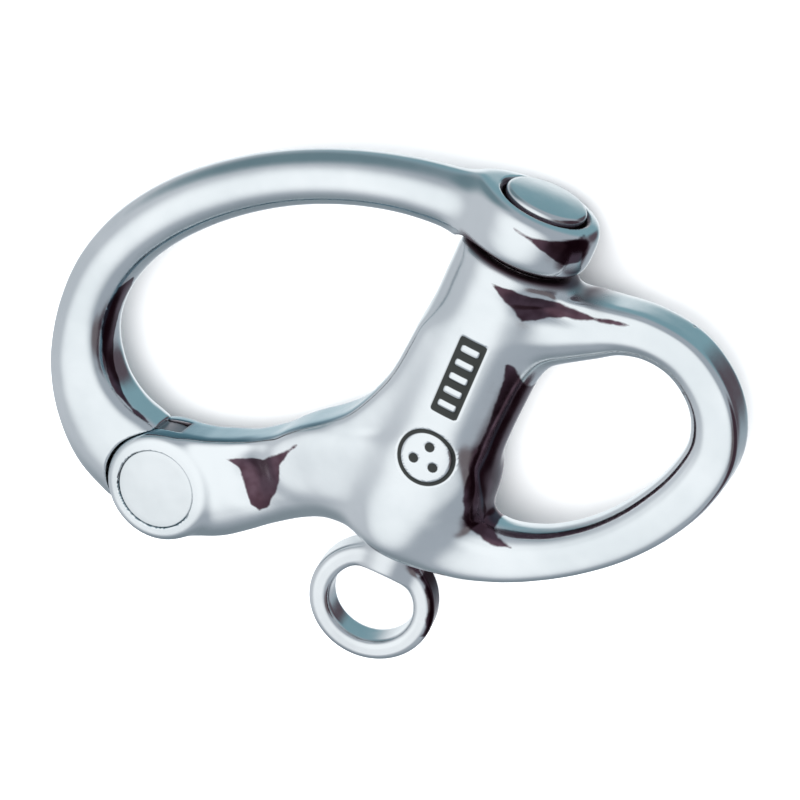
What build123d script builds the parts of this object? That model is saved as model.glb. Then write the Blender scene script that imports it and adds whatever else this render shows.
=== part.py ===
from build123d import *
import math
import os

# Fixed-eye snap shackle, nominal 70 mm long, all in stainless steel. Millimetres.
# Frame: the origin is the middle of the fixed eye's hole, in the shackle's mid-plane.
# +Y runs up the plunger's axis towards the latch, +X runs from the gate's side
# towards the fixed eye, and +Z stands out of the flat of the shackle.

# ---- where the work axes stand in that frame
EYE_X, EYE_Y = 12.9, 24.9      # eye centre measured from the plunger axis / ring centre
DX, DY = -EYE_X, -EYE_Y        # shift of everything drawn from the ring centre

# ---- barrel
BARREL_R = 5.75
BARREL_X = -0.2                # the forging's outside stands this far from the bore's axis
BARREL_Y0, BARREL_Y1 = 6.7, 38.9
BARREL_TOP_ROUND, BARREL_FOOT_ROUND = 1.0, 2.6
HEAD_BORE_R = 3.88             # guides the plunger's head
SHANK_BORE_R = 1.68            # guides its shank
SPRING_FLOOR_Y = 14.5

# ---- fixed eye: (x, y, half width, half thickness) along its bar
EYE_BAR = [
    (1.56, 33.16, 4.65, 4.4), (5.36, 34.74, 3.69, 3.7), (9.35, 36.61, 2.72, 3.0), (13.43, 37.82, 2.3, 2.7),
    (17.49, 37.41, 2.28, 2.65), (21.09, 34.93, 2.36, 2.65), (22.9, 31.2, 2.49, 2.65), (22.57, 27.04, 2.54, 2.65),
    (21.06, 22.99, 2.5, 2.65), (18.89, 19.31, 2.4, 2.65), (16.12, 16.07, 2.34, 2.65), (12.81, 13.34, 2.45, 2.75),
    (9.05, 11.41, 2.9, 3.1), (4.98, 10.86, 3.9, 3.9), (0.74, 12.25, 4.9, 4.6),
]

# ---- fork arm: the same, from the barrel to the ears
ARM_BAR = [
    (-1.8, 13.6, 5.4, 5.0), (-5.4, 12.0, 5.2, 4.3), (-8.85, 10.3, 5.0, 3.7), (-11.6, 8.1, 4.45, 3.15),
    (-14.6, 5.6, 4.55, 2.8), (-17.2, 3.55, 5.0, 2.8), (-19.5, 2.0, 5.35, 2.9), (-23.0, 0.4, 5.4, 2.9),
]
# webs that fill the corner between barrel and arm, and the eye's upper corner
WEB_BAR = [
    (-1.9, 27.0, 3.9, 4.6), (-2.26, 23.6, 4.0, 4.5), (-3.3, 20.1, 4.0, 4.3), (-5.0, 16.3, 4.0, 4.1),
    (-6.76, 13.57, 4.2, 3.8), (-10.1, 9.74, 4.4, 3.3),
]
EYE_WEB = [(2.2, 25.5, 2.9, 3.2), (3.1, 29.43, 2.95, 3.1), (4.88, 33.1, 2.9, 3.0), (8.3, 35.8, 2.7, 2.9)]
PIVOT_X, PIVOT_Y = -23.4, 0.2
EAR_R, EAR_Z, EAR_ROUND = 5.5, 3.1, 1.2
SLOT_Z, SLOT_R = 1.3, 6.1      # half the slot between the ears, and how deep it is cut

# ---- rivet
RIVET_R, RIVET_HEAD_R, RIVET_HEAD_T = 2.2, 4.0, 0.8

# ---- gate: (x, y, radius) along the bail, from the latch boss to the heel; the heel is
# wider than it is thick, (x, y, half width, half thickness)
BAIL = [
    (-2.99, 40.97, 3.23), (-7.43, 40.56, 2.85), (-11.76, 39.64, 2.65), (-15.95, 38.23, 2.58),
    (-19.96, 36.36, 2.58), (-23.75, 34.07, 2.62), (-27.27, 31.36, 2.69), (-30.5, 28.27, 2.78),
    (-33.29, 24.81, 2.89), (-35.45, 20.98, 3.0), (-36.78, 16.76, 3.12), (-37.05, 12.5, 3.25),
    (-36.3, 8.6, 3.5, 3.35), (-34.7, 5.5, 3.95, 3.4), (-32.6, 3.2, 4.5, 3.4), (-30.1, 1.6, 4.95, 3.3),
    (-27.4, 0.7, 5.2, 3.2),
]
BOSS_R, BOSS_Y0, BOSS_Y1 = 5.65, 39.2, 44.2
BOSS_ROUND_TOP, BOSS_ROUND_FOOT = 1.4, 1.2
LATCH_BORE_R = 4.0
BARREL_CLEAR_R = 6.25          # the bail's underside is relieved around the barrel's mouth
TANG_R, TANG_Z, TANG_BORE_R = 5.0, 1.12, 2.26
HEEL_R = 5.8                   # the full-thickness heel starts this far from the pivot

# ---- plunger
HEAD_R, HEAD_Y0, HEAD_Y1 = 3.8, 30.0, 44.8
HEAD_DOME = 0.3
SHANK_R = 1.6
STROKE = 6.3                   # pull that drops the head clear of the gate
PEEN_R = 2.05

# ---- spring
SPRING_WIRE_R, SPRING_MEAN_R, SPRING_TURNS = 0.4, 3.1, 6.5

# ---- pull ring, turned about the plunger's axis
RING_HOLE_R, RING_OUT_R, RING_Z, RING_ROUND = 4.05, 6.2, 1.7, 0.8
RING_TURN = 8.4
NECK_R, NECK_Y0, NECK_Y1 = 2.75, 3.0, 6.6
NECK_BORE_R = 1.66


def about_y(points):
    """Turn a closed outline of (radius, y) points about the Y axis."""
    with BuildPart() as p:
        with BuildSketch(Plane.XY):
            with BuildLine():
                Polyline(*points, close=True)
            make_face()
        revolve(axis=Axis.Y)
    return p.part


def post(r, y0, y1, round0=0.0, round1=0.0):
    """A round post on the Y axis with rounded ends, as one turned profile."""
    with BuildPart() as p:
        with BuildSketch(Plane.XY):
            with BuildLine():
                last = (0, y0)
                if round0:
                    Line(last, (r - round0, y0))
                    RadiusArc((r - round0, y0), (r, y0 + round0), -round0)
                else:
                    Line(last, (r, y0))
                Line((r, y0 + round0), (r, y1 - round1))
                if round1:
                    RadiusArc((r, y1 - round1), (r - round1, y1), -round1)
                Line((r - round1, y1), (0, y1))
                Line((0, y1), (0, y0))
            make_face()
        revolve(axis=Axis.Y)
    return p.part


def bar(stations):
    """A bar of elliptical section through (x, y, half width, half thickness) stations."""
    faces = []
    n = len(stations)
    for i, s in enumerate(stations):
        a, b = stations[max(i - 1, 0)], stations[min(i + 1, n - 1)]
        t = Vector(b[0] - a[0], b[1] - a[1], 0).normalized()
        plane = Plane(origin=(s[0], s[1], 0), x_dir=(0, 0, 1), z_dir=t)
        w, h = s[2], s[3] if len(s) > 3 else s[2]
        with BuildSketch(plane) as sk:
            if abs(w - h) < 1e-6:
                Circle(w)
            else:
                Ellipse(h, w)
        faces.append(sk.sketch.faces()[0])
    return Part() + Solid.make_loft([f.outer_wire() for f in faces])


def disc(x, y, r, z0, z1):
    return Pos(x, y, z0) * Cylinder(r, z1 - z0, align=(Align.CENTER, Align.CENTER, Align.MIN))


# ------------------------------------------------------------------ body
barrel = Pos(BARREL_X, 0, 0) * post(BARREL_R, BARREL_Y0, BARREL_Y1, BARREL_FOOT_ROUND, BARREL_TOP_ROUND)
ear = disc(PIVOT_X, PIVOT_Y, EAR_R, -EAR_Z, EAR_Z)
ear = fillet(ear.edges().filter_by(GeomType.CIRCLE), EAR_ROUND)
body = barrel + bar(EYE_BAR) + bar(ARM_BAR) + bar(WEB_BAR) + bar(EYE_WEB) + ear

body -= post(HEAD_BORE_R, SPRING_FLOOR_Y, BARREL_Y1 + 1)
body -= post(SHANK_BORE_R, BARREL_Y0 - 2, SPRING_FLOOR_Y + 1)
# the ring's neck turns in a clear space below the barrel's foot
body -= post(7.2, -7.5, BARREL_Y0 - 2.2)
body -= post(NECK_R + 0.5, BARREL_Y0 - 3, BARREL_Y0)
# slot between the ears, and the rivet's hole with its two flush recesses
body -= disc(PIVOT_X, PIVOT_Y, SLOT_R, -SLOT_Z, SLOT_Z)
body -= disc(PIVOT_X, PIVOT_Y, RIVET_R, -EAR_Z - 1, EAR_Z + 1)
for s in (-1, 1):
    z = sorted((s * (EAR_Z - RIVET_HEAD_T), s * (EAR_Z + 1)))
    body -= disc(PIVOT_X, PIVOT_Y, RIVET_HEAD_R, z[0], z[1])

# shallow sunk marks on the barrel's face: a plain ruled plate and a plain ring of three dots
MARK_DEPTH = 0.22
marks = []
PLATE_X, PLATE_Y, PLATE_W, PLATE_L = 0.2, 27.6, 2.7, 8.0
with BuildSketch(Plane.XY.offset(3)) as sk:
    with Locations((PLATE_X, PLATE_Y)):
        Rectangle(PLATE_W, PLATE_L)
        for i in range(5):
            with Locations((0, -2.9 + 1.45 * i)):
                Rectangle(PLATE_W - 1.0, 0.55, mode=Mode.SUBTRACT)
marks.append(extrude(sk.sketch, amount=6))
DIAL_X, DIAL_Y, DIAL_R = 0.3, 19.0, 2.8
with BuildSketch(Plane.XY.offset(3)) as sk:
    with Locations((DIAL_X, DIAL_Y)):
        Circle(DIAL_R)
        Circle(DIAL_R - 0.45, mode=Mode.SUBTRACT)
        with PolarLocations(1.15, 3, start_angle=90):
            Circle(0.5)
marks.append(extrude(sk.sketch, amount=6))
under = Pos(BARREL_X, 0, 0) * post(BARREL_R - MARK_DEPTH, BARREL_Y0 - 1, BARREL_Y1 + 1)
for m in marks:
    body -= m - under

# ------------------------------------------------------------------ gate
gate = bar(BAIL) + post(BOSS_R, BOSS_Y0 - 0.0, BOSS_Y1, BOSS_ROUND_FOOT, BOSS_ROUND_TOP)
gate -= post(BARREL_CLEAR_R, 30, BOSS_Y0)
gate -= post(LATCH_BORE_R, BOSS_Y0 - 2, BOSS_Y1 + 2)
gate -= disc(PIVOT_X, PIVOT_Y, HEEL_R, -8, 8)
tang = disc(PIVOT_X, PIVOT_Y, TANG_R, -TANG_Z, TANG_Z)
neck_angle = math.degrees(math.atan2(1.6 - PIVOT_Y, -30.1 - PIVOT_X))
tang += Pos(PIVOT_X, PIVOT_Y, 0) * Rot(0, 0, neck_angle) * Pos(4.0, 0, 0) * Box(8.0, 5.2, 2 * TANG_Z)
tang -= disc(PIVOT_X, PIVOT_Y, TANG_BORE_R, -8, 8)
gate += tang

# ------------------------------------------------------------------ rivet
rivet = disc(PIVOT_X, PIVOT_Y, RIVET_R, -EAR_Z + 0.4, EAR_Z - 0.4)
for s in (-1, 1):
    z = sorted((s * (EAR_Z - RIVET_HEAD_T), s * (EAR_Z + 0.02)))
    rivet += disc(PIVOT_X, PIVOT_Y, RIVET_HEAD_R, z[0], z[1])

# ------------------------------------------------------------------ plunger
pin = about_y([
    (0, 4.12), (PEEN_R, 4.12), (PEEN_R, 4.3), (SHANK_R, 5.0), (SHANK_R, HEAD_Y0),
    (HEAD_R - 0.4, HEAD_Y0), (HEAD_R, HEAD_Y0 + 0.4), (HEAD_R, HEAD_Y1 - 0.3),
    (HEAD_R - 0.3, HEAD_Y1), (1.9, HEAD_Y1 + 0.75 * HEAD_DOME), (0, HEAD_Y1 + HEAD_DOME),
])

# ------------------------------------------------------------------ spring
spring_y0 = SPRING_FLOOR_Y + 0.05 + SPRING_WIRE_R
spring_h = HEAD_Y0 - 0.05 - SPRING_WIRE_R - spring_y0
path = Helix(pitch=spring_h / SPRING_TURNS, height=spring_h, radius=SPRING_MEAN_R)
with BuildSketch(Plane(origin=path @ 0, z_dir=path % 0)) as wire:
    Circle(SPRING_WIRE_R)
spring = sweep(wire.sketch, path=path, is_frenet=True)
spring = Pos(0, spring_y0, 0) * Rot(-90, 0, 0) * spring

# ------------------------------------------------------------------ pull ring
with BuildPart() as rp:
    with BuildSketch(Plane.XZ) as sk:
        with Locations(((RING_HOLE_R + RING_OUT_R) / 2, 0)):
            RectangleRounded(RING_OUT_R - RING_HOLE_R, 2 * RING_Z, RING_ROUND)
    revolve(axis=Axis.Z)
ring = rp.part + post(NECK_R, NECK_Y0, NECK_Y1, 0, 0.3)
ring -= disc(0, 0, RING_HOLE_R, -5, 5)
ring -= post(NECK_BORE_R, 0, NECK_Y1 + 1)
# countersink for the shank's peened end, 0.06 clear all round
ring -= about_y([(0, 3.0), (PEEN_R + 0.06, 3.0), (PEEN_R + 0.06, 4.33), (NECK_BORE_R, 5.0), (0, 5.0)])
ring = Rot(0, RING_TURN, 0) * ring

# ------------------------------------------------------------------ write
nodes = {
    "body": body,
    "gate": gate,
    "gate_rivet": rivet,
    "plunger_pin": pin,
    "plunger_spring": spring,
    "pull_ring": ring,
}
os.makedirs("parts", exist_ok=True)
for name, shape in nodes.items():
    placed = Pos(DX, DY, 0) * shape
    solids = placed.solids()
    print(name, len(solids), "solid(s), volume", round(sum(s.volume for s in solids), 1), "mm3")
    export_step(placed, "parts/" + name + ".step")
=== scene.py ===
import bpy
import math
import numpy as np
from mathutils import Matrix, Vector


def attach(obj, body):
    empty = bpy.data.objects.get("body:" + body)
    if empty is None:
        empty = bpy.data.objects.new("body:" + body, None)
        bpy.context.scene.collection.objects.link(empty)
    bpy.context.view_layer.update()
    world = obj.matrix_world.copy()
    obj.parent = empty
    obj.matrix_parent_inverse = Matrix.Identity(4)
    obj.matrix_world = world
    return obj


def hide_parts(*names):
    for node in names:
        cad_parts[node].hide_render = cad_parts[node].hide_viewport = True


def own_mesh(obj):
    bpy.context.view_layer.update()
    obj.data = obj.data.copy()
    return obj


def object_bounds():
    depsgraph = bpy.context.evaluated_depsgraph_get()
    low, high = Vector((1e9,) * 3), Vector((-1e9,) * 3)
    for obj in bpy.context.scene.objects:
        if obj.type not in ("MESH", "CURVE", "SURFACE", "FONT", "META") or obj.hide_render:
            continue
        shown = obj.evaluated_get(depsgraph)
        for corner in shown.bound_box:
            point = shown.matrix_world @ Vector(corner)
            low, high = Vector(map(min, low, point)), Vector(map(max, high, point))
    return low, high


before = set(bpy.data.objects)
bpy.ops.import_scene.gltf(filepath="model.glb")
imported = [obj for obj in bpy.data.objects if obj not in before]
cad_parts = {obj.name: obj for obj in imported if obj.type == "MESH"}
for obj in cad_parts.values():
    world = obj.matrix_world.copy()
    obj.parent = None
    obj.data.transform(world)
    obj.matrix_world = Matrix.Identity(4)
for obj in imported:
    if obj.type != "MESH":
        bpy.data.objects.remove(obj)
CAD_BOX = [list(map(float, c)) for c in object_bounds()]

# Shapes are drawn in millimetres from the pull ring's centre, then shifted into the row frame.
EYE_X, EYE_Y = 12.9, 24.9
PIVOT = (-23.4, 0.2)


# ------------------------------------------------------------------ camera
def make_camera():
    cam = bpy.data.cameras.new("shot")
    cam.sensor_fit = "HORIZONTAL"
    cam.sensor_width = 36.0
    cam.lens = 111.97
    cam.clip_start, cam.clip_end = 0.01, 10.0
    ob = bpy.data.objects.new("shot", cam)
    bpy.context.scene.collection.objects.link(ob)
    right = Vector((0.8594, 0.3471, -0.3755)).normalized()
    back = Vector((0.196, 0.4547, 0.8688)).normalized()
    up = back.cross(right).normalized()
    right = up.cross(back).normalized()
    m = Matrix((right, up, back)).transposed().to_4x4()
    m.translation = Vector(((40.06 - EYE_X) / 1000, (125.01 - EYE_Y) / 1000, 0.20062))
    ob.matrix_world = m
    bpy.context.scene.camera = ob


make_camera()


# ------------------------------------------------------------------ distance fields, in mm
def smin(a, b, k):
    h = np.maximum(k - np.abs(a - b), 0.0) / k
    return np.minimum(a, b) - h * h * h * k / 6.0


def smax(a, b, k):
    return -smin(-a, -b, k)


def spline(stations, per=7):
    """Catmull-Rom through the stations, all columns together."""
    p = np.array(stations, float)
    p = np.vstack([2 * p[0] - p[1], p, 2 * p[-1] - p[-2]])
    out = []
    for i in range(1, len(p) - 2):
        for j in range(per):
            t = j / per
            a, b, c, d = p[i - 1], p[i], p[i + 1], p[i + 2]
            out.append(0.5 * (2 * b + (c - a) * t + (2 * a - 5 * b + 4 * c - d) * t * t + (3 * b - a - 3 * c + d) * t ** 3))
    out.append(p[-2])
    return np.array(out)


def nearest(line, x, y):
    """For plan points: squared distance to the line, which side of it (+ on the left), and its other columns there."""
    shape = x.shape
    x, y = x.ravel(), y.ravel()
    a, b = line[:-1], line[1:]
    e = b[:, :2] - a[:, :2]
    L = (e * e).sum(1)
    dist, side = np.empty(x.size), np.empty(x.size)
    cols = np.empty((x.size, line.shape[1] - 2))
    for s in range(0, x.size, 8192):
        px = x[s:s + 8192, None] - a[None, :, 0]
        py = y[s:s + 8192, None] - a[None, :, 1]
        t = np.clip((px * e[:, 0] + py * e[:, 1]) / L, 0, 1)
        d2 = (px - t * e[:, 0]) ** 2 + (py - t * e[:, 1]) ** 2
        k = d2.argmin(1)
        r = np.arange(len(k))
        tt = t[r, k][:, None]
        dist[s:s + 8192] = d2[r, k]
        side[s:s + 8192] = (e[k, 0] * py[r, k] - e[k, 1] * px[r, k]) / np.sqrt(L[k])
        cols[s:s + 8192] = a[k, 2:] * (1 - tt) + b[k, 2:] * tt
    side = np.clip(side / cols[:, 0], -1.5, 1.5)
    return np.stack([dist.reshape(shape), side.reshape(shape)] + [c.reshape(shape) for c in cols.T])


class Plan:
    """nearest() worked out once on a fine plan grid, lightly smoothed, then read back with cubic interpolation."""
    H = 0.14

    def __init__(self, line, low, high, blur=0.3):
        self.low = np.array(low[:2], float) - 1.0
        n = [int((high[i] + 1.0 - self.low[i]) / self.H) + 2 for i in (0, 1)]
        X, Y = np.meshgrid(self.low[0] + self.H * np.arange(n[0]), self.low[1] + self.H * np.arange(n[1]), indexing="ij")
        a = nearest(line, X, Y)
        r = int(3 * blur / self.H + 1)
        k = np.exp(-0.5 * (np.arange(-r, r + 1) * self.H / blur) ** 2)
        k /= k.sum()
        for axis in (1, 2):
            pad = [(0, 0)] * 3
            pad[axis] = (r, r)
            q = np.pad(a, pad, mode="edge")
            a = sum(w * np.take(q, np.arange(i, i + a.shape[axis]), axis=axis) for i, w in enumerate(k))
        self.a = np.ascontiguousarray(np.moveaxis(a, 0, -1))

    def __call__(self, x, y):
        shape = x.shape
        u = (x.ravel() - self.low[0]) / self.H
        v = (y.ravel() - self.low[1]) / self.H
        i = np.clip(np.floor(u).astype(int), 1, self.a.shape[0] - 3)
        j = np.clip(np.floor(v).astype(int), 1, self.a.shape[1] - 3)
        out = 0.0
        wu, wv = cubic(u - i), cubic(v - j)
        for m in range(4):
            for n in range(4):
                out = out + (wu[m] * wv[n])[:, None] * self.a[i + m - 1, j + n - 1]
        out = out.reshape(shape + (out.shape[-1],))
        d = np.sqrt(np.maximum(out[..., 0], 1e-8))
        return d, out[..., 1], out[..., 2], out[..., 3]


def cubic(t):
    """Catmull-Rom weights."""
    return [0.5 * (-t + 2 * t * t - t ** 3), 0.5 * (2 - 5 * t * t + 3 * t ** 3), 0.5 * (t + 4 * t * t - 3 * t ** 3), 0.5 * (t ** 3 - t * t)]


def step(t):
    t = np.clip(t, 0, 1)
    return t * t * (3 - 2 * t)


def section(w, z, a, b, p=2.0):
    """Signed distance, to first order, to an oval section of half sizes a and b."""
    if np.isscalar(p) and p == 2.0:
        k0 = np.sqrt((w / a) ** 2 + (z / b) ** 2)
        k1 = np.sqrt((w / (a * a)) ** 2 + (z / (b * b)) ** 2)
        return k0 * (k0 - 1) / np.maximum(k1, 1e-6)
    u, v = np.abs(w / a) + 1e-9, np.abs(z / b) + 1e-9
    q = (u ** p + v ** p) ** (1 / p)
    g = np.sqrt((u ** (p - 1) / a) ** 2 + (v ** (p - 1) / b) ** 2) * q ** (1 - p)
    return (q - 1) / np.maximum(g, 1e-6)


def rounded_rect(u, v, hu, hv, r):
    """Distance to a rectangle of half sizes hu, hv with corners of radius r."""
    qu, qv = np.abs(u) - hu + r, np.abs(v) - hv + r
    return np.hypot(np.maximum(qu, 0), np.maximum(qv, 0)) + np.minimum(np.maximum(qu, qv), 0) - r


# ------------------------------------------------------------------ surface nets
def surface(field, low, high, h):
    """Closed quad mesh of field(x, y, z, plan) < 0 on a grid of pitch h, with its corners moved on to the surface.
    field.plan(x, y) is worked out once for the whole plan. Returns corners, quads and unit normals."""
    ax = [np.arange(low[i], high[i] + h, h) for i in range(3)]
    X, Y = np.meshgrid(ax[0], ax[1], indexing="ij")
    plan = field.plan(X, Y)
    F = np.empty((len(ax[0]), len(ax[1]), len(ax[2])), np.float32)
    for k, z in enumerate(ax[2]):
        F[:, :, k] = field(X, Y, np.full_like(X, z), plan)
    inside = F < 0
    n = inside.astype(np.int8)
    c = sum(n[i:i + n.shape[0] - 1, j:j + n.shape[1] - 1, k:k + n.shape[2] - 1] for i in (0, 1) for j in (0, 1) for k in (0, 1))
    cells = np.argwhere((c > 0) & (c < 8))
    ids = np.full(c.shape, -1, np.int32)
    ids[tuple(cells.T)] = np.arange(len(cells))
    corner = np.array([(i, j, k) for i in (0, 1) for j in (0, 1) for k in (0, 1)])
    val = np.stack([F[tuple((cells + o).T)] for o in corner], 1).astype(float)
    acc, cnt = np.zeros((len(cells), 3)), np.zeros(len(cells))
    for a in range(8):
        for b in range(a + 1, 8):
            if np.abs(corner[a] - corner[b]).sum() != 1:
                continue
            cross = (val[:, a] < 0) != (val[:, b] < 0)
            t = val[cross, a] / (val[cross, a] - val[cross, b])
            acc[cross] += corner[a] + t[:, None] * (corner[b] - corner[a])
            cnt[cross] += 1
    v = np.array(low) + (cells + acc / cnt[:, None]) * h
    quads = []
    for axis in range(3):
        o = [0, 0, 0]
        o[axis] = 1
        sl = [slice(0, s - 1) if i == axis else slice(1, s - 1) for i, s in enumerate(F.shape)]
        sh = [slice(1, s) if i == axis else slice(1, s - 1) for i, s in enumerate(F.shape)]
        s0, s1 = inside[tuple(sl)], inside[tuple(sh)]
        at = np.argwhere(s0 != s1)
        flip = s0[tuple(at.T)]
        at = at + [0 if i == axis else 1 for i in range(3)]
        u, w = (axis + 1) % 3, (axis + 2) % 3
        ring = []
        for du, dw in ((0, 0), (1, 0), (1, 1), (0, 1)):
            q = at.copy()
            q[:, u] -= du
            q[:, w] -= dw
            ring.append(ids[tuple(q.T)])
        ring = np.stack(ring, 1)
        ring[~flip] = ring[~flip][:, ::-1]
        quads.append(ring)
    quads = np.vstack(quads)
    for _ in range(2):
        g, f = gradient(field, v, 0.02, False)
        step = np.clip(f / np.maximum((g * g).sum(1), 0.15), -0.35 * h, 0.35 * h)
        v = v - g * step[:, None]
    g, _ = gradient(field, v, 0.03, True)
    g /= np.maximum(np.linalg.norm(g, axis=1), 1e-9)[:, None]
    return v, quads, g


def gradient(field, v, e, central):
    """Slope and value of a field at points; the plan part is reused for the steps along z."""
    x, y, z = v.T
    here = field.plan(x, y)
    f = field(x, y, z, here)
    gx = field(x + e, y, z, field.plan(x + e, y))
    gy = field(x, y + e, z, field.plan(x, y + e))
    gz = field(x, y, z + e, here)
    if not central:
        return np.stack([gx - f, gy - f, gz - f], 1) / e, f
    bx = field(x - e, y, z, field.plan(x - e, y))
    by = field(x, y - e, z, field.plan(x, y - e))
    bz = field(x, y, z - e, here)
    return np.stack([gx - bx, gy - by, gz - bz], 1) / (2 * e), f


def mesh_object(name, v, faces, normals=None, smooth=True):
    """A mesh object from millimetre points drawn from the ring's centre."""
    co = (np.asarray(v, float) - (EYE_X, EYE_Y, 0)) / 1000.0
    me = bpy.data.meshes.new(name)
    faces = [tuple(int(i) for i in f) for f in faces]
    me.from_pydata(co.tolist(), [], faces)
    me.validate()
    me.update()
    me.shade_smooth() if smooth else me.shade_flat()
    if normals is not None and len(me.vertices) == len(normals):
        me.normals_split_custom_set_from_vertices(np.asarray(normals, float).tolist())
    ob = bpy.data.objects.new(name, me)
    bpy.context.scene.collection.objects.link(ob)
    return ob


# ------------------------------------------------------------------ the body forging
EYE_BAR = [
    (1.56, 33.16, 4.65, 4.4), (5.36, 34.74, 3.69, 3.7), (9.35, 36.61, 2.72, 2.95), (13.43, 37.82, 2.3, 2.6),
    (17.49, 37.41, 2.28, 2.5), (21.09, 34.93, 2.36, 2.5), (22.9, 31.2, 2.49, 2.5), (22.57, 27.04, 2.54, 2.5),
    (21.06, 22.99, 2.5, 2.5), (18.89, 19.31, 2.4, 2.5), (16.12, 16.07, 2.34, 2.5), (12.81, 13.34, 2.45, 2.6),
    (9.05, 11.41, 2.9, 3.0), (4.98, 10.86, 3.9, 3.8), (0.74, 12.25, 4.9, 4.6),
]
ARM_BAR = [
    (0.5, 15.0, 6.0, 5.0), (-1.8, 13.6, 5.5, 4.9), (-5.4, 12.0, 5.2, 4.3), (-8.85, 10.3, 5.0, 3.7), (-11.6, 8.1, 4.45, 3.1),
    (-14.6, 5.6, 4.55, 2.7), (-17.2, 3.55, 5.0, 2.65), (-19.5, 2.0, 5.35, 2.75), (-23.0, 0.4, 5.4, 2.8),
]
WEB_BAR = [
    (-1.7, 28.5, 3.9, 4.6), (-2.26, 23.6, 4.0, 4.4), (-3.3, 20.1, 4.0, 4.2), (-5.0, 16.3, 4.0, 3.9),
    (-6.76, 13.57, 4.2, 3.6), (-10.1, 9.74, 4.4, 3.2),
]
EYE_WEB = [(1.7, 25.5, 2.9, 3.1), (2.6, 29.43, 2.95, 3.0), (4.6, 33.1, 2.9, 2.9), (8.3, 35.8, 2.7, 2.8)]
EYE_LINE, ARM_LINE = spline(EYE_BAR), spline(ARM_BAR)
WEB_LINE, CORNER_LINE = spline(WEB_BAR), spline(EYE_WEB)
BODY_LOW, BODY_HIGH = (-30.0, -6.4, -6.5), (26.6, 41.4, 6.5)
BARREL_Y0, BARREL_Y1 = 6.7, 38.9


class Body:
    def __init__(self):
        self.eye, self.arm, self.web, self.corner = [Plan(line, BODY_LOW, BODY_HIGH) for line in (EYE_LINE, ARM_LINE, WEB_LINE, CORNER_LINE)]

    def plan(self, x, y):
        return self.eye(x, y), self.arm(x, y), self.web(x, y), self.corner(x, y), self.marks(x, y)

    @staticmethod
    def marks(x, y):
        """Distance in plan to the shallow marks: a ruled plate and a ring of three dots. Negative is inside."""
        u, v = x - 0.2, y - 27.6
        plate = rounded_rect(u, v, 1.35, 4.0, 0.3)
        for i in range(5):
            plate = np.maximum(plate, -rounded_rect(u, v - (-2.9 + 1.45 * i), 0.85, 0.3, 0.15))
        u, v = x - 0.3, y - 19.0
        r = np.hypot(u, v)
        dial = np.abs(r - 2.575) - 0.225
        for i in range(3):
            t = math.radians(90 + 120 * i)
            dial = np.minimum(dial, np.hypot(u - 1.15 * math.cos(t), v - 1.15 * math.sin(t)) - 0.5)
        return np.minimum(plate, dial)

    def __call__(self, x, y, z, plan):
        (de, se, we, he), (da, sa, wa, ha), (dw, sw, ww, hw), (dc, sc, wc, hc), marks = plan
        rho = np.hypot(x, z)
        outer = np.hypot(x + 0.2, z)
        # the barrel is a little slimmer at its mouth
        R = 5.72 - 0.2 * np.clip((y - 26.0) / 12.0, 0, 1) ** 1.5
        barrel = smax(smax(outer - R, y - BARREL_Y1, 2.0), BARREL_Y0 - y, 5.0)
        # crisp on the bail's side of the arm and outside the eye, rounder on the other side
        out = step(0.5 + se)
        eye = section(de, z, we * (1 - 0.07 * out), he, 2.3 + 3.2 * out)
        arm = section(da, z, wa, ha, 6.2 - 3.5 * step(0.5 + sa))
        web = section(dw, z, ww * (1 - 0.1 * step(0.5 + sw)), hw, 6.0 - 3.7 * step(0.5 + sw))
        corner = section(dc, z, wc, hc, 2.2)
        ex = np.hypot(x - PIVOT[0], y - PIVOT[1])
        ear = rounded_rect(ex, z, 5.48, 3.1, 0.85)
        d = smin(arm, web, 1.0)
        d = smin(d, barrel, 2.4)
        d = smin(d, ear, 1.6)
        d = smin(d, smin(eye, corner, 1.6), 2.2)
        d = smax(d, np.abs(z) - 5.73, 0.6)
        # waist between ear and arm, and the hollow under the eye's ridge
        wx, wy = (x + 15.2) * 0.81 + (y - 6.6) * 0.58, -(x + 15.2) * 0.58 + (y - 6.6) * 0.81
        d = d + 0.9 * np.exp(-(wx / 1.7) ** 2 - (wy / 2.3) ** 2) * step((np.abs(z) - 0.6) / 1.6)
        hx, hy = x - 4.9, (y - 36.6) - 0.13 * (x - 4.9)
        hollow = np.exp(-(hx / 3.4) ** 2 - (hy / 1.0) ** 2)
        d = d + 0.75 * hollow * step((np.abs(z) - 0.8) / 1.6)
        # the marks on the front are pressed in with soft edges
        d = d + np.where(z > 0, 0.08 * step(0.5 - marks / 0.26), 0.0)
        # stepped bore, the clear space for the ring's neck, the gate's slot and the rivet's seat
        bore = np.maximum(rho - 3.88, 14.5 - y)
        bore = np.minimum(bore, smax(rho - 3.88 - np.maximum(y - (BARREL_Y1 - 0.35), 0), BARREL_Y1 - 0.6 - y, 0.05))
        bore = np.minimum(bore, rho - 1.68)
        d = smax(d, -bore, 0.12)
        slot = smax(ex - 5.8, np.abs(z) - 1.3, 0.3)
        d = smax(d, -slot, 0.4)
        seat = np.minimum(ex - 2.2, np.maximum(ex - 4.02, 2.3 - np.abs(z)))
        return smax(d, -seat, 0.12)


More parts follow.
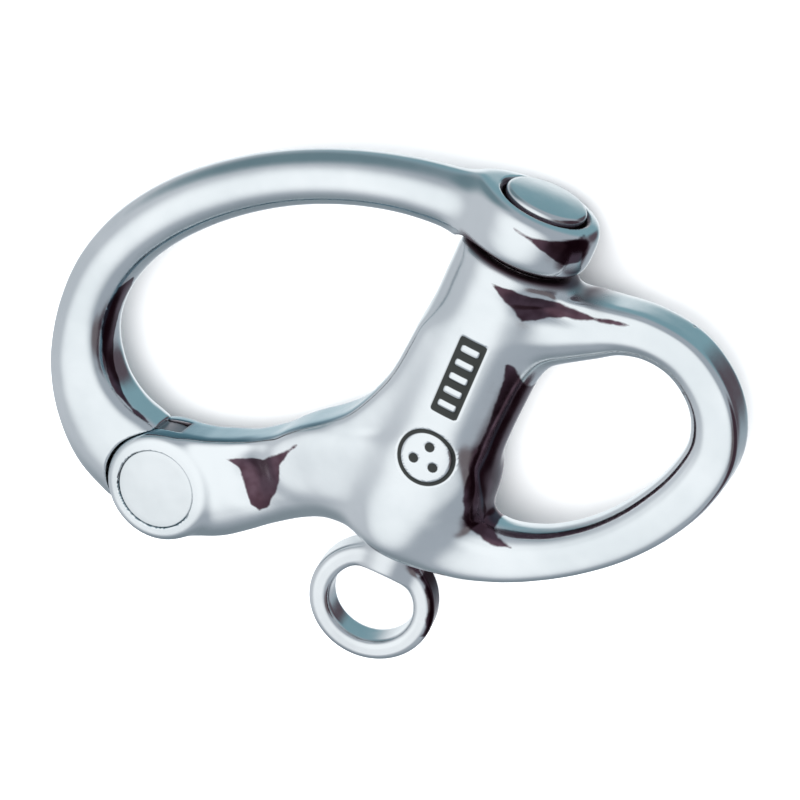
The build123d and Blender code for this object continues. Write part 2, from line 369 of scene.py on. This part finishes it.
# ------------------------------------------------------------------ the gate
BAIL = [
    (-1.5, 41.3, 3.6, 3.6), (-4.5, 41.0, 3.25, 3.25), (-7.43, 40.56, 2.85, 2.85), (-11.76, 39.64, 2.65, 2.65), (-15.95, 38.23, 2.58, 2.58),
    (-19.96, 36.36, 2.58, 2.58), (-23.75, 34.07, 2.62, 2.62), (-27.27, 31.36, 2.69, 2.69), (-30.5, 28.27, 2.78, 2.78),
    (-33.29, 24.81, 2.83, 2.89), (-35.45, 20.98, 2.85, 3.0), (-36.78, 16.76, 2.88, 3.1), (-37.0, 12.5, 2.95, 3.2),
    (-36.2, 8.6, 3.2, 3.3), (-34.6, 5.5, 3.7, 3.35), (-32.5, 3.2, 4.3, 3.35), (-30.1, 1.6, 4.85, 3.3), (-27.4, 0.7, 5.1, 3.2),
]
BAIL_LINE = spline(BAIL)
GATE_LOW, GATE_HIGH = (-41.4, -6.5, -6.2), (6.6, 45.4, 6.2)


class Gate:
    def __init__(self):
        self.bow = Plan(BAIL_LINE, GATE_LOW, GATE_HIGH)

    def plan(self, x, y):
        return self.bow(x, y)

    def __call__(self, x, y, z, plan):
        db, sb, wb, hb = plan
        rho = np.hypot(x, z)
        ex = np.hypot(x - PIVOT[0], y - PIVOT[1])
        # the inside of the bow turns flat-sided on its way down to the heel
        bow = section(db, z, wb, hb, 2.0 + step((wb - 2.75) / 0.6) * (0.3 + 1.0 * step(0.5 + sb)))
        bow = smax(bow, np.where(y < 12, x + 26.0, -9.0), 0.6)
        boss = smax(smax(rho - 5.65, y - 44.2, 2.6), 39.2 - y, 2.6)
        d = smin(bow, boss, 3.5)
        # flat seat over the barrel's mouth
        d = smax(d, -smax(rho - 6.25, y - 39.2, 1.8), 0.5)
        d = smax(d, y - 44.3, 0.6)
        # heel clear of the ears, and the tang between them
        d = smax(d, 5.62 - ex, 0.3)
        neck_dir = np.array([-0.9788, 0.2046])
        along = (x - PIVOT[0]) * neck_dir[0] + (y - PIVOT[1]) * neck_dir[1]
        across = -(x - PIVOT[0]) * neck_dir[1] + (y - PIVOT[1]) * neck_dir[0]
        tang = np.minimum(ex - 5.5, np.maximum(np.maximum(-along, along - 8.0), np.abs(across) - 2.7))
        tang = smax(tang, np.abs(z) - 1.12, 0.2)
        d = smin(d, tang, 0.5)
        hole = rho - 4.0 - np.maximum(y - 43.85, 0) - np.maximum(39.45 - y, 0)
        hole = np.maximum(hole, 30.0 - y)
        d = smax(d, -hole, 0.15)
        return smax(d, -(ex - 2.26), 0.1)


# ------------------------------------------------------------------ the pull ring
class Ring:
    TURN = math.radians(8.4)

    def plan(self, x, y):
        return None

    def __call__(self, x, y, z, plan):
        c, s = math.cos(self.TURN), math.sin(self.TURN)
        u, w = x * c - z * s, x * s + z * c
        r = np.hypot(u, y)
        ring = rounded_rect(r - 5.125, w, 1.075, 1.7, 0.8)
        rho = np.hypot(x, z)
        neck = smax(smax(rho - 2.75, y - 6.6, 0.6), 3.0 - y, 0.2)
        d = smin(ring, neck, 1.6)
        d = smax(d, 4.05 - r, 0.5)
        bore = np.maximum(rho - 1.66, 2.0 - y)
        return smax(d, -bore, 0.1)


PITCH = 0.19
T = {}


def polygon(x, y, points):
    """Signed distance in plan to a polygon, negative inside."""
    p = np.array(points, float)
    best = np.full(x.shape, np.inf)
    inside = np.zeros(x.shape, bool)
    for a, b in zip(p, np.roll(p, -1, axis=0)):
        e = b - a
        t = np.clip(((x - a[0]) * e[0] + (y - a[1]) * e[1]) / (e @ e), 0, 1)
        best = np.minimum(best, np.hypot(x - a[0] - t * e[0], y - a[1] - t * e[1]))
        if a[1] != b[1]:
            hit = ((a[1] > y) != (b[1] > y)) & (x < e[0] * (y - a[1]) / e[1] + a[0])
            inside ^= hit
    return np.where(inside, -best, best)


WAIST = [
    (-18.3, 6.75), (-17.5, 7.0), (-16.4, 7.6), (-14.8, 8.8), (-13.1, 10.8), (-11.8, 12.5), (-12.3, 10.8), (-12.55, 9.4), (-12.2, 7.95),
    (-12.15, 6.45), (-12.4, 4.8), (-13.15, 3.5), (-14.15, 3.6), (-15.05, 4.45), (-15.85, 5.55), (-16.6, 6.3), (-17.4, 6.65),
]
BOSS_SIDE = [
    (-0.6, 42.9), (1.0, 43.0), (2.6, 43.2), (3.7, 43.5), (4.6, 43.75), (5.2, 43.4), (5.45, 42.25), (5.2, 41.5), (4.45, 41.3),
    (3.2, 41.75), (1.75, 42.2), (0.45, 42.6),
]
EYE_FLANK = [
    (3.5, 30.5), (3.8, 28.2), (4.02, 26.5), (4.12, 23.85), (4.2, 21.0), (4.36, 18.6), (4.72, 16.6), (5.4, 14.6), (6.4, 13.3),
    (7.8, 12.75), (9.2, 12.95), (10.4, 13.4), (8.9, 13.5), (8.1, 13.9), (8.0, 15.5), (7.5, 18.0), (7.3, 24.0), (6.8, 27.2), (5.3, 28.9),
    (4.1, 30.3),
]
RIDGE = [(-0.5, 37.3), (3.2, 35.1), (6.7, 36.65), (9.3, 37.7), (11.8, 38.75), (8.2, 37.95), (5.85, 37.45), (3.7, 37.45), (1.7, 37.55)]


def body_painted_light_and_marks(x, y, z):
    """Distance to the patches of painted dark reflection, distance to the sunk marks, and how much painted shade each
    point gets in the crevices.
    """
    rho, ex = np.hypot(x, z), np.hypot(x - PIVOT[0], y - PIVOT[1])
    # painted dark reflection: plum patches in the waist, under the eye's ridge and along the eye's flank stand in for
    # the dark surroundings mirrored there
    dark_reflection = np.minimum(polygon(x, y, WAIST), polygon(x, y, RIDGE))
    dark_reflection = np.where(np.abs(z) > 1.2, dark_reflection, 2.0)
    dark_reflection = np.minimum(dark_reflection, np.where(z > -3.0, polygon(x, y, EYE_FLANK), 2.0))
    marks = np.where(z > 2.0, Body.marks(x, y), 2.0)
    # painted shade in the crevices: under the gate's seat, round the ring's neck, in the gate's slot and down the bore
    crevice_shade = step((y - 38.2) / 0.5) * step((10.0 - rho) / 3.5)
    crevice_shade = np.maximum(crevice_shade, step((7.7 - y) / 1.0) * step((4.9 - rho) / 1.2))
    crevice_shade = np.maximum(crevice_shade, step((1.45 - np.abs(z)) / 0.2) * step((6.1 - ex) / 0.3))
    crevice_shade = np.maximum(crevice_shade, step((4.0 - rho) / 0.1))
    return dark_reflection, marks, crevice_shade


def gate_painted_light(x, y, z):
    rho, ex = np.hypot(x, z), np.hypot(x - PIVOT[0], y - PIVOT[1])
    # painted shade in the crevices: under the seat on the barrel, in the pin's hole, at the heel and on the tang
    crevice_shade = step((39.85 - y) / 0.45) * step((6.6 - rho) / 0.8)
    crevice_shade = np.maximum(crevice_shade, step((4.42 - rho) / 0.22))
    crevice_shade = np.maximum(crevice_shade, 0.35 * step((5.66 - ex) / 0.12))
    crevice_shade = np.maximum(crevice_shade, 0.75 * step((1.2 - np.abs(z)) / 0.1) * step((5.75 - ex) / 0.1))
    # painted dark reflection on the inside wall of the bow above the heel, and on the boss's right flank
    at = [5.8, 6.7, 7.8, 9.3, 11.4, 14.0, 17.0, 19.0]
    wall = np.abs(z - np.interp(y, at, [1.75, 1.6, 1.3, 1.1, 0.95, 0.85, 0.9, 1.0])) - np.interp(y, at, [0.1, 0.35, 0.55, 0.8, 1.05, 1.2, 0.95, -0.4])
    wall = np.where((x > -34.7) & (x < -26.4) & (y < 19) & (y > 5.2) & (ex > 6.3), wall, 2.0)
    flank = np.where(z > 0.8, polygon(x, y, BOSS_SIDE), 2.0)
    return np.minimum(wall, flank), np.full(x.shape, 2.0), crevice_shade


def ring_painted_light(x, y, z):
    # painted shade on the neck's top, under the body
    crevice_shade = step((y - 6.2) / 0.3) * 0.8
    # painted dark reflection on the outside wall on the right, from the neck down
    edge = np.maximum(5.92 - np.hypot(x, y), 0.08 * (np.abs(np.degrees(np.arctan2(y, x)) - 24.0) - 32.0))
    return np.where(x > 0, edge, 2.0), np.full(x.shape, 2.0), crevice_shade


def note(ob, v, painted_light_fields):
    """Stores a piece's painted reflections, painted shade and sunk marks on its corners, for its material to read."""
    for name, values in zip(("dark_reflection", "marks", "crevice_shade"), painted_light_fields(*np.asarray(v, float).T)):
        ob.data.attributes.new(name, "FLOAT", "POINT").data.foreach_set("value", np.asarray(values, np.float32))


def build(name, field, low, high, h, node, body, painted_light_fields):
    v, q, n = surface(field, low, high, h)
    ob = mesh_object(name, v, q, n)
    note(ob, v, painted_light_fields)
    if painted_light_fields is body_painted_light_and_marks:
        # painted teal reflection on the upper wall of the arm, where it faces the bow
        edge = step((0.62 - np.abs(n[:, 2])) / 0.3) * step((n[:, 1] - 0.1) / 0.3) * step((-2.5 - v[:, 0]) / 2.0) * step((30.0 - v[:, 1]) / 3.0)
        ob.data.attributes.new("edge", "FLOAT", "POINT").data.foreach_set("value", edge.astype(np.float32))
    print(name, len(q) * 2, "triangles")
    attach(ob, body)
    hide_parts(node)
    T[name] = ob
    return ob


build("shackle_body", Body(), (-29.6, -5.9, -6.1), (26.2, 41.0, 6.1), PITCH, "body", "frame", body_painted_light_and_marks)
build("gate_bail", Gate(), (-41.2, -6.3, -6.1), (6.4, 45.2, 6.1), 0.18, "gate", "gate", gate_painted_light)
build("lanyard_ring", Ring(), (-7.2, -7.2, -3.6), (7.2, 7.4, 3.6), 0.13, "pull_ring", "pull_ring", ring_painted_light)


# ------------------------------------------------------------------ turned pieces
def lathe(name, profile, axis, centre, turns=160):
    """A closed turned solid: (radius, height) points from the axis, out and back to it."""
    p = np.array(profile, float)
    ang = np.linspace(0, 2 * np.pi, turns, endpoint=False)
    verts, faces = [], []
    idx = []
    for r, y in p:
        if r < 1e-9:
            idx.append([len(verts)] * turns)
            verts.append((0.0, y, 0.0))
        else:
            idx.append(list(range(len(verts), len(verts) + turns)))
            verts += [(r * math.cos(a), y, r * math.sin(a)) for a in ang]
    for a, b in zip(idx[:-1], idx[1:]):
        for i in range(turns):
            j = (i + 1) % turns
            f = [a[i], b[i], b[j], a[j]]
            f = [k for n, k in enumerate(f) if k not in f[:n]]
            if len(f) > 2:
                faces.append(f)
    v = np.array(verts)
    if axis == "z":
        v = v[:, [0, 2, 1]]
        faces = [f[::-1] for f in faces]
    v = v + np.array(centre)
    return mesh_object(name, v, faces)


def arc(cr, cy, r, a0, a1, n=6):
    """Points of a rounded corner about (cr, cy)."""
    return [(cr + r * math.cos(math.radians(a0 + (a1 - a0) * i / n)), cy + r * math.sin(math.radians(a0 + (a1 - a0) * i / n))) for i in range(n + 1)]


def done(ob, node, body):
    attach(ob, body)
    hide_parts(node)
    T[ob.name] = ob
    return ob


pin_profile = [(0, 4.12)] + arc(1.45, 4.27, 0.15, -90, 0, 4) + [(1.6, 29.7)] + arc(1.9, 29.7, 0.3, 180, 90, 4)
pin_profile += [(3.3, 30.0)] + arc(3.4, 30.4, 0.4, -90, 0, 5)
pin_profile += [(3.8, 44.2)] + arc(3.3, 44.3, 0.5, 0, 64, 7)
R_DOME = 26.0
dome0 = (pin_profile[-1][0], pin_profile[-1][1])
for i in range(1, 13):
    r = dome0[0] * (1 - i / 12)
    pin_profile.append((r, dome0[1] + (dome0[0] ** 2 - r ** 2) / (2 * R_DOME)))
done(lathe("latch_pin", pin_profile, "y", (0, 0, 0)), "plunger_pin", "plunger")

rivet = [(0, -3.1), (1.8, -3.1), (3.3, -3.09)] + arc(3.84, -2.95, 0.14, -90, 0, 5) + [(3.98, -2.34), (2.18, -2.34)]
rivet = rivet + [(r, -z) for r, z in rivet[::-1]]
done(lathe("hinge_rivet", rivet, "z", (PIVOT[0], PIVOT[1], 0)), "gate_rivet", "frame")


def helix(name, radius, wire, y0, y1, turns, per=48, around=14):
    """Round wire coiled about the plunger's axis, with closed, flattened end turns."""
    n = int(turns * per)
    t = np.linspace(0, 1, n + 1)
    ang = 2 * np.pi * turns * t
    ease = np.clip((t * turns - 0.75) / (turns - 1.5), 0, 1)
    y = y0 + wire + (y1 - y0 - 2 * wire) * ease
    verts, faces = [], []
    for i in range(n + 1):
        c, s = math.cos(ang[i]), math.sin(ang[i])
        for j in range(around):
            b = 2 * math.pi * j / around
            r = radius + wire * math.cos(b)
            verts.append((r * c, y[i] + wire * math.sin(b), r * s))
    for i in range(n):
        for j in range(around):
            k = (j + 1) % around
            faces.append((i * around + j, i * around + k, (i + 1) * around + k, (i + 1) * around + j))
    faces.append(tuple(range(around))[::-1])
    faces.append(tuple(range(n * around, (n + 1) * around)))
    return mesh_object(name, np.array(verts), faces)


spring = helix("coil_spring", 3.1, 0.4, 14.55, 29.95, 7.0)
done(spring, "plunger_spring", "frame")
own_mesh(spring)


# ------------------------------------------------------------------ materials
class Shader:
    """Small helper for wiring one procedural material."""

    def __init__(self, name):
        self.m = bpy.data.materials.new(name)
        self.m.use_nodes = True
        self.t = self.m.node_tree
        self.p = self.t.nodes["Principled BSDF"]
        self.co = self.node("ShaderNodeTexCoord").outputs["Object"]

    def node(self, kind, **props):
        n = self.t.nodes.new(kind)
        for k, v in props.items():
            setattr(n, k, v)
        return n

    def link(self, a, b):
        self.t.links.new(a, b)

    def noise(self, scale, detail=3.0, stretch=(1, 1, 1), rough=0.5):
        mp = self.node("ShaderNodeMapping")
        mp.inputs["Scale"].default_value = stretch
        self.link(self.co, mp.inputs["Vector"])
        n = self.node("ShaderNodeTexNoise")
        n.inputs["Scale"].default_value = scale
        n.inputs["Detail"].default_value = detail
        n.inputs["Roughness"].default_value = rough
        self.link(mp.outputs["Vector"], n.inputs["Vector"])
        return n.outputs["Fac"]

    def ramp(self, x, a, b, lo=0.0, hi=1.0):
        r = self.node("ShaderNodeMapRange", interpolation_type="SMOOTHSTEP")
        r.inputs["From Min"].default_value = a
        r.inputs["From Max"].default_value = b
        r.inputs["To Min"].default_value = lo
        r.inputs["To Max"].default_value = hi
        self.link(x, r.inputs["Value"])
        return r.outputs["Result"]

    def math(self, op, a, b):
        n = self.node("ShaderNodeMath", operation=op)
        for k, v in enumerate((a, b)):
            if isinstance(v, (int, float)):
                n.inputs[k].default_value = v
            else:
                self.link(v, n.inputs[k])
        return n.outputs[0]

    def mix(self, f, a, b):
        n = self.node("ShaderNodeMix", data_type="RGBA")
        self.link(f, n.inputs["Factor"])
        for k, v in ((6, a), (7, b)):
            if isinstance(v, tuple):
                n.inputs[k].default_value = (*v, 1)
            else:
                self.link(v, n.inputs[k])
        return n.outputs[2]

    def attribute(self, name):
        return self.node("ShaderNodeAttribute", attribute_type="GEOMETRY", attribute_name=name).outputs["Fac"]

    def bump(self, height, distance, strength=1.0, after=None):
        b = self.node("ShaderNodeBump")
        b.inputs["Strength"].default_value = strength
        b.inputs["Distance"].default_value = distance
        self.link(height, b.inputs["Height"])
        if after is not None:
            self.link(after, b.inputs["Normal"])
        return b.outputs["Normal"]


def steel(name, light, dull, rough, painted_light_and_marks, scratch=(3.0, 60.0, 3.0)):
    """Polished stainless: cloudy polish, fine draw lines, sparse pits and, when asked, painted dark and teal
    reflections, painted shade in crevices and dark sunk marks.
    """
    s = Shader(name)
    cloud = s.noise(90.0, 4.0)
    fine = s.noise(900.0, 4.0)
    lines = s.noise(260.0, 2.0, stretch=scratch)
    colour = s.mix(s.ramp(cloud, 0.35, 0.68), light, dull)
    pit = s.node("ShaderNodeTexVoronoi", feature="F1")
    pit.inputs["Scale"].default_value = 210.0
    s.link(s.co, pit.inputs["Vector"])
    pits = s.math("MULTIPLY", s.ramp(pit.outputs["Distance"], 0.055, 0.025), s.ramp(cloud, 0.5, 0.56))
    colour = s.mix(s.math("MULTIPLY", pits, 0.6), colour, (0.16, 0.15, 0.15))
    roughness = s.math("ADD", s.ramp(fine, 0.3, 0.75, rough - 0.03, rough + 0.05), s.ramp(cloud, 0.35, 0.7, 0.0, 0.05))
    if painted_light_and_marks:
        ragged = s.math("MULTIPLY", s.math("SUBTRACT", s.noise(420.0, 3.0), 0.5), 0.9)
        dark_reflection = s.ramp(s.math("ADD", s.attribute("dark_reflection"), ragged), 0.10, -0.12)
        plum = s.mix(s.ramp(s.noise(500.0, 2.0), 0.35, 0.65), (0.085, 0.045, 0.06), (0.14, 0.085, 0.11))
        colour = s.mix(dark_reflection, colour, plum)
        # painted teal reflection on the arm's upper wall
        colour = s.mix(s.math("MULTIPLY", s.attribute("edge"), 0.85), colour, (0.17, 0.33, 0.40))
        # painted shade in the crevices between parts, which also roughens them
        crevice_shade = s.attribute("crevice_shade")
        colour = s.mix(s.math("MULTIPLY", crevice_shade, 0.95), colour, (0.13, 0.07, 0.09))
        # dark fill in the sunk marks: partly oxide in the grooves, partly painted shade
        sunk = s.ramp(s.attribute("marks"), 0.03, -0.07)
        colour = s.mix(s.math("MULTIPLY", sunk, 0.95), colour, (0.022, 0.024, 0.02))
        roughness = s.math("ADD", roughness, s.math("MULTIPLY", s.math("MAXIMUM", sunk, crevice_shade), 0.25))
    s.link(colour, s.p.inputs["Base Color"])
    s.link(roughness, s.p.inputs["Roughness"])
    s.p.inputs["Metallic"].default_value = 1.0
    wave = s.bump(s.noise(160.0, 2.0), 0.00010, 0.35)
    peel = s.bump(fine, 0.000012, 0.5, wave)
    drawn = s.bump(lines, 0.000008, 0.4, peel)
    s.link(s.bump(pits, -0.00004, 0.6, drawn), s.p.inputs["Normal"])
    return s.m


FORGED = steel("forged_polish", (0.90, 0.925, 0.935), (0.80, 0.835, 0.85), 0.12, True)
RINGED = steel("ring_polish", (0.88, 0.90, 0.91), (0.78, 0.80, 0.815), 0.14, True)
TURNED = steel("turned_pin", (0.86, 0.885, 0.895), (0.76, 0.79, 0.80), 0.16, False, scratch=(60.0, 3.0, 3.0))
DRAWN = steel("drawn_wire", (0.62, 0.63, 0.64), (0.48, 0.49, 0.50), 0.24, False, scratch=(20.0, 20.0, 3.0))
for name, m in (("shackle_body", FORGED), ("gate_bail", FORGED), ("lanyard_ring", RINGED), ("latch_pin", TURNED), ("hinge_rivet", TURNED), ("coil_spring", DRAWN)):
    T[name].data.materials.clear()
    T[name].data.materials.append(m)


# ------------------------------------------------------------------ stage
def make_floor():
    me = bpy.data.meshes.new("floor")
    s, z = 3.0, CAD_BOX[0][2] - 0.0002
    me.from_pydata([(-s, -s, z), (s, -s, z), (s, s, z), (-s, s, z)], [], [(0, 1, 2, 3)])
    ob = bpy.data.objects.new("floor", me)
    bpy.context.scene.collection.objects.link(ob)
    m = bpy.data.materials.new("floor_paper")
    m.use_nodes = True
    p = m.node_tree.nodes["Principled BSDF"]
    p.inputs["Base Color"].default_value = (0.93, 0.93, 0.93, 1)
    p.inputs["Roughness"].default_value = 0.9
    me.materials.append(m)
    ob.visible_glossy = False
    return ob


make_floor()


def toward(theta, phi):
    """Unit direction from an angle off +Z and a bearing from +X, in degrees."""
    t, p = math.radians(theta), math.radians(phi)
    return (math.sin(t) * math.cos(p), math.sin(t) * math.sin(p), math.cos(t))


# soft cards round the shackle: (off +Z, bearing, inner half angle, outer half angle, colour)
SURROUND = (0.34, 0.375, 0.42)
CARDS = [
    (80, -165, 20, 85, (0.50, 0.53, 0.57)),
    (100, -85, 10, 45, (0.21, 0.25, 0.28)),
    (100, 145, 10, 40, (0.14, 0.21, 0.24)),
    (155, 90, 20, 52, (0.19, 0.32, 0.37)),
    (97, 0, 24, 40, (0.045, 0.026, 0.036)),
    (116, -25, 12, 27, (0.05, 0.03, 0.04)),
    (145, 20, 9, 26, (0.09, 0.07, 0.085)),
    (60, -5, 8, 22, (0.14, 0.12, 0.13)),
    (160, -150, 16, 36, (0.86, 0.91, 0.94)),
    (10, -160, 18, 60, (0.90, 0.935, 0.96)),
]


def make_world():
    w = bpy.data.worlds.new("studio")
    bpy.context.scene.world = w
    w.use_nodes = True
    nt = w.node_tree
    bg = nt.nodes["Background"]
    co = nt.nodes.new("ShaderNodeTexCoord")
    last = None
    for theta, phi, inner, outer, colour in CARDS:
        dot = nt.nodes.new("ShaderNodeVectorMath")
        dot.operation = "DOT_PRODUCT"
        dot.inputs[1].default_value = toward(theta, phi)
        nt.links.new(co.outputs["Generated"], dot.inputs[0])
        ramp = nt.nodes.new("ShaderNodeMapRange")
        ramp.interpolation_type = "SMOOTHSTEP"
        ramp.inputs["From Min"].default_value = math.cos(math.radians(outer))
        ramp.inputs["From Max"].default_value = math.cos(math.radians(inner))
        nt.links.new(dot.outputs["Value"], ramp.inputs["Value"])
        mix = nt.nodes.new("ShaderNodeMix")
        mix.data_type = "RGBA"
        mix.inputs[7].default_value = (*colour, 1)
        nt.links.new(ramp.outputs["Result"], mix.inputs["Factor"])
        if last:
            nt.links.new(last, mix.inputs[6])
        else:
            mix.inputs[6].default_value = (*SURROUND, 1)
        last = mix.outputs[2]
    nt.links.new(last, bg.inputs["Color"])
    bg.inputs["Strength"].default_value = 1.08


def make_key():
    """One broad soft light overhead, for the paper; the steel shows the cards only."""
    li = bpy.data.lights.new("overhead", "AREA")
    li.shape = "SQUARE"
    li.size = 1.8
    li.energy = KEY_WATTS
    li.color = (1.0, 1.0, 1.0)
    ob = bpy.data.objects.new("overhead", li)
    ob.location = (-0.05, 0.05, 1.1)
    ob.visible_glossy = False
    bpy.context.scene.collection.objects.link(ob)


KEY_WATTS = 36.0
make_key()
make_world()
sc = bpy.context.scene
sc.view_settings.view_transform = "Standard"
sc.view_settings.look = "None"
sc.view_settings.exposure = 0.0
sc.view_settings.gamma = 1.0
